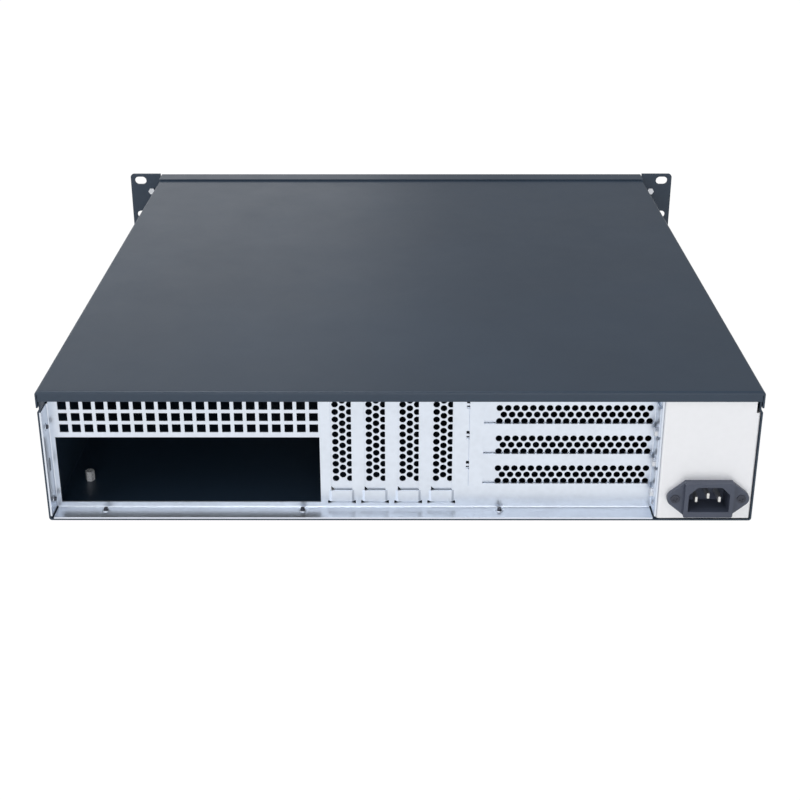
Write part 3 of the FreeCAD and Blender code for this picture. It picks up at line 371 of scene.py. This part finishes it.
def full_place(name):
    """Cover on its side: its tab lies against the flange beside the power bay."""
    lo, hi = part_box(name)
    turn = Matrix(((0, 0, -1, 0), (0, 1, 0, 0), (1, 0, 0, 0), (0, 0, 0, 1)))
    return Matrix.Translation((lo.x, hi.y - TAB_REACH, (lo.z + hi.z) / 2)) @ turn


for i in range(LOW_COVERS):
    name = "low_profile_slot_cover_%d" % (i + 1)
    slot_cover(name, LOW_LENGTH, LOW_HOLES, LOW_FIRST_HOLE, low_place(name), True)
for i in range(FULL_COVERS):
    name = "full_height_slot_cover_%d" % (i + 1)
    slot_cover(name, FULL_LENGTH, FULL_HOLES, FULL_FIRST_HOLE, full_place(name), False)


# ---------------------------------------------------------------- softened edges
def softened(node, slot_name, body, width, segments=2):
    """The node's own shape with its sharp edges rounded, as moulding and folding leave them."""
    source = nodes[node]
    bm = bmesh.new()
    bm.from_mesh(source.data)
    bm.transform(source.matrix_world)
    bmesh.ops.remove_doubles(bm, verts=bm.verts, dist=WELD)
    bmesh.ops.dissolve_limit(bm, angle_limit=math.radians(FLAT_ANGLE), verts=bm.verts, edges=bm.edges)
    sharp = math.radians(SHARP_ANGLE)
    edges = [e for e in bm.edges if len(e.link_faces) == 2 and e.calc_face_angle(0) > sharp]
    bmesh.ops.bevel(bm, geom=edges, offset=width, offset_type="OFFSET", segments=segments, profile=0.5,
                    affect="EDGES", clamp_overlap=True)
    add_piece(node + "_rounded", mesh_from(node + "_rounded", bm), slot_name, body, node)


softened("power_inlet", "black_plastic", "case", 0.55 * MM, 3)
softened("inlet_pins", "pin_metal", "case", 0.7 * MM, 3)
softened("left_handle", "black_paint", "case", 1.2 * MM, 3)
softened("right_handle", "black_paint", "case", 1.2 * MM, 3)
softened("power_button", "black_plastic", "power_key", 0.3 * MM)
softened("reset_button", "black_plastic", "reset_key", 0.2 * MM)


# ---------------------------------------------------------------- slots under the bridges
def bridge_slots():
    """The rear panel, replaced by a copy with the flared slot under each bridge opened wider."""
    source = nodes["rear_panel"]
    bm = bmesh.new()
    bm.from_mesh(source.data)
    bm.transform(source.matrix_world)
    bmesh.ops.remove_doubles(bm, verts=bm.verts, dist=WELD)
    panel = bpy.data.objects.new("panel_blank", mesh_from("panel_blank", bm))
    cuts = bmesh.new()
    for i in range(LOW_COVERS):
        lo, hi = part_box("low_profile_slot_cover_%d" % (i + 1))
        x = (lo.x + hi.x) / 2 + BRIDGE_OFFSET
        y = hi.y - TAB_REACH
        end = BRIDGE_WIDTH / 2 + BRIDGE_FLARE
        waist = BRIDGE_WIDTH / 2 - 2 * BRIDGE_FLARE
        ring = [(-end, BRIDGE_FLARE / 2), (-waist, 0), (waist, 0), (end, BRIDGE_FLARE / 2),
                (end, -2 * BRIDGE_FLARE), (waist, -BRIDGE_SLOT),
                (-waist, -BRIDGE_SLOT), (-end, -2 * BRIDGE_FLARE)]
        near = [cuts.verts.new((x + u, y - CUT_INWARD, BRIDGE_EDGE + v)) for u, v in ring]
        far = [cuts.verts.new((x + u, y + CUT_OUTWARD, BRIDGE_EDGE + v)) for u, v in ring]
        cuts.faces.new(near)
        cuts.faces.new(far[::-1])
        for j in range(len(ring)):
            k = (j + 1) % len(ring)
            cuts.faces.new((near[j], near[k], far[k], far[j]))
    bmesh.ops.recalc_face_normals(cuts, faces=cuts.faces)
    cutter = bpy.data.objects.new("slot_cutter", mesh_from("slot_cutter", cuts))
    for item in (panel, cutter):
        bpy.context.scene.collection.objects.link(item)
    cut = panel.modifiers.new("slots", "BOOLEAN")
    cut.operation = "DIFFERENCE"
    cut.solver = "EXACT"
    cut.object = cutter
    mesh = bpy.data.meshes.new_from_object(panel.evaluated_get(bpy.context.evaluated_depsgraph_get()))
    for item in (panel, cutter):
        bpy.data.objects.remove(item)
    add_piece("rear_panel_sheet", mesh, "galvanised_steel", "case", "rear_panel")


bridge_slots()


# ---------------------------------------------------------------- drawn holes and screw recesses
def burr(bm, point, axis, inner, outer, height):
    """Collar drawn up round a screw hole, standing on the sheet at the point."""
    turn = Vector((0, 0, 1)).rotation_difference(axis).to_matrix().to_4x4()
    place = Matrix.Translation(point) @ turn
    profile = [(inner, 0), (inner, height * 0.8), (inner + (outer - inner) * 0.35, height),
               (inner + (outer - inner) * 0.75, height * 0.8), (outer, 0)]
    rings = []
    for i in range(HOLE_SIDES):
        angle = 2 * math.pi * i / HOLE_SIDES
        rings.append([bm.verts.new(place @ Vector((radius * math.cos(angle), radius * math.sin(angle), level)))
                      for radius, level in profile])
    for i in range(HOLE_SIDES):
        here = rings[i]
        ahead = rings[(i + 1) % HOLE_SIDES]
        for j in range(len(profile)):
            k = (j + 1) % len(profile)
            bm.faces.new((here[j], here[k], ahead[k], ahead[j]))


def screw_tip(bm, point, axis, height):
    """End of a screw, standing out of its collar."""
    turn = Vector((0, 0, 1)).rotation_difference(axis).to_matrix().to_4x4()
    place = Matrix.Translation(point) @ turn @ Matrix.Translation((0, 0, height / 2))
    bmesh.ops.create_cone(bm, cap_ends=True, segments=TIP_SIDES, radius1=TIP_RADIUS,
                          radius2=TIP_RADIUS * TIP_TAPER, depth=height, matrix=place)


def flange_burrs():
    """Collars and screw tips inside the rear panel's bottom and side flanges."""
    lo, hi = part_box("rear_panel")
    case_lo, case_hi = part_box("base_tray")
    side = (case_hi.x - case_lo.x) / 2
    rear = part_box("top_cover")[1].y
    bm = bmesh.new()
    tips = bmesh.new()
    up = Vector((0, 0, 1))
    inward = Vector((-1, 0, 0))
    for inset in FLOOR_HOLES:
        point = Vector((side - inset, rear - FLOOR_HOLE_INSET, lo.z + SHEET))
        burr(bm, point, up, COLLAR_BORE, COLLAR_RADIUS, FLOOR_COLLAR)
        screw_tip(tips, point, up, FLOOR_TIP)
    for z in SIDE_HOLES:
        point = Vector((hi.x - SHEET, rear - SIDE_HOLE_INSET, z))
        burr(bm, point, inward, COLLAR_BORE, COLLAR_RADIUS, SIDE_COLLAR)
        screw_tip(tips, point, inward, SIDE_TIP)
    bmesh.ops.recalc_face_normals(bm, faces=bm.faces)
    for face in bm.faces:
        face.smooth = True
    add_piece("flange_collars", mesh_from("flange_collars", bm), "galvanised_steel", "case")
    add_piece("flange_screw_tips", mesh_from("flange_screw_tips", tips), "black_screw", "case")


def cross_outline(reach, half):
    """Cross recess of a screw head."""
    points = []
    for turn in range(4):
        angle = math.pi / 2 * turn
        for u, v in ((half, -half), (reach, -half * 0.7), (reach, half * 0.7)):
            points.append((u * math.cos(angle) - v * math.sin(angle), u * math.sin(angle) + v * math.cos(angle)))
    return points


def inlet_screw_heads():
    """Low caps with cross recesses on the heads of the inlet's two screws."""
    lo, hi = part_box("inlet_screws")
    bm = bmesh.new()
    for x in (lo.x + HEAD_RADIUS, hi.x - HEAD_RADIUS):
        head = flat_sheet([circle(0, 0, HEAD_RADIUS * HEAD_SHARE, HOLE_SIDES),
                           cross_outline(CROSS_REACH, CROSS_HALF)], HEAD_CAP, HEAD_EDGE)
        head.transform(Matrix.Translation((x, hi.y + HEAD_CAP / 2, (lo.z + hi.z) / 2))
                       @ Matrix.Rotation(math.radians(CROSS_TURN), 4, "Y") @ Matrix.Rotation(math.pi / 2, 4, "X"))
        holder = bpy.data.meshes.new("head")
        head.to_mesh(holder)
        head.free()
        bm.from_mesh(holder)
        bpy.data.meshes.remove(holder)
    add_piece("inlet_screw_recesses", mesh_from("inlet_screw_recesses", bm), "black_screw", "case")


flange_burrs()
inlet_screw_heads()


# ---------------------------------------------------------------- floor, lights and camera
def plain_floor():
    """Pale floor that the camera and shiny surfaces see as the white background."""
    bm = bmesh.new()
    bmesh.ops.create_grid(bm, x_segments=1, y_segments=1, size=FLOOR_HALF)
    piece = bpy.data.objects.new("studio_floor", mesh_from("studio_floor", bm))
    bpy.context.scene.collection.objects.link(piece)
    material, tree, shader = new_material("white_floor")
    shader.inputs["Base Color"].default_value = FLOOR_COLOUR
    shader.inputs["Roughness"].default_value = 0.9
    path = tree.nodes.new("ShaderNodeLightPath")
    white = tree.nodes.new("ShaderNodeEmission")
    mix = tree.nodes.new("ShaderNodeMixShader")
    seen = tree.nodes.new("ShaderNodeMath")
    seen.operation = "MAXIMUM"
    tree.links.new(path.outputs["Is Camera Ray"], seen.inputs[0])
    tree.links.new(path.outputs["Is Glossy Ray"], seen.inputs[1])
    share = tree.nodes.new("ShaderNodeMath")
    share.operation = "MULTIPLY"
    share.inputs[1].default_value = FLOOR_GLOW_SHARE
    white.inputs["Strength"].default_value = FLOOR_GLOW
    tree.links.new(seen.outputs[0], share.inputs[0])
    tree.links.new(share.outputs[0], mix.inputs["Fac"])
    tree.links.new(shader.outputs[0], mix.inputs[1])
    tree.links.new(white.outputs[0], mix.inputs[2])
    tree.links.new(mix.outputs[0], tree.nodes["Material Output"].inputs["Surface"])
    piece.data.materials.append(material)


def white_world(strength):
    """Even light of this strength, which the camera sees as plain white."""
    world = bpy.data.worlds.new("studio")
    bpy.context.scene.world = world
    world.use_nodes = True
    tree = world.node_tree
    background = tree.nodes["Background"]
    background.inputs["Color"].default_value = (1, 1, 1, 1)
    path = tree.nodes.new("ShaderNodeLightPath")
    choose = tree.nodes.new("ShaderNodeMapRange")
    choose.inputs["To Min"].default_value = strength
    choose.inputs["To Max"].default_value = 1.0
    tree.links.new(path.outputs["Is Camera Ray"], choose.inputs["Value"])
    tree.links.new(choose.outputs["Result"], background.inputs["Strength"])


def soft_lamp(name, location, target, size, power):
    """White rectangular lamp turned towards the target."""
    lamp = bpy.data.lights.new(name, "AREA")
    lamp.shape = "RECTANGLE"
    lamp.size, lamp.size_y = size
    lamp.energy = power
    holder = bpy.data.objects.new(name, lamp)
    holder.location = location
    direction = Vector(target) - Vector(location)
    holder.rotation_euler = direction.to_track_quat("-Z", "Y").to_euler()
    bpy.context.scene.collection.objects.link(holder)


def photo_camera():
    """Camera at the photograph's place and angle."""
    camera = bpy.data.cameras.new("camera")
    camera.lens = CAMERA_LENS
    camera.sensor_width = CAMERA_SENSOR
    camera.shift_y = CAMERA_SHIFT
    holder = bpy.data.objects.new("camera", camera)
    holder.location = CAMERA_PLACE
    holder.rotation_euler = [math.radians(angle) for angle in CAMERA_TURN]
    bpy.context.scene.collection.objects.link(holder)
    bpy.context.scene.camera = holder


plain_floor()
white_world(WORLD_LIGHT)
soft_lamp("key", (1.9, 1.2, 1.6), (0, 0, 0), (1.6, 1.6), 14)
soft_lamp("overhead", (0.35, 0.28, 2.0), (0.1, 0.24, 0.08), (1.6, 0.25), 15)
soft_lamp("far_left", (0.72, -2.2, 0.62), (0.1, -0.15, 0.08), (1.4, 0.35), 2.9)
soft_lamp("rear_fill", (-0.1, 2.6, 0.6), (0, 0.24, 0.04), (1.8, 0.8), 15)
photo_camera()
bpy.context.scene.view_settings.view_transform = "Standard"
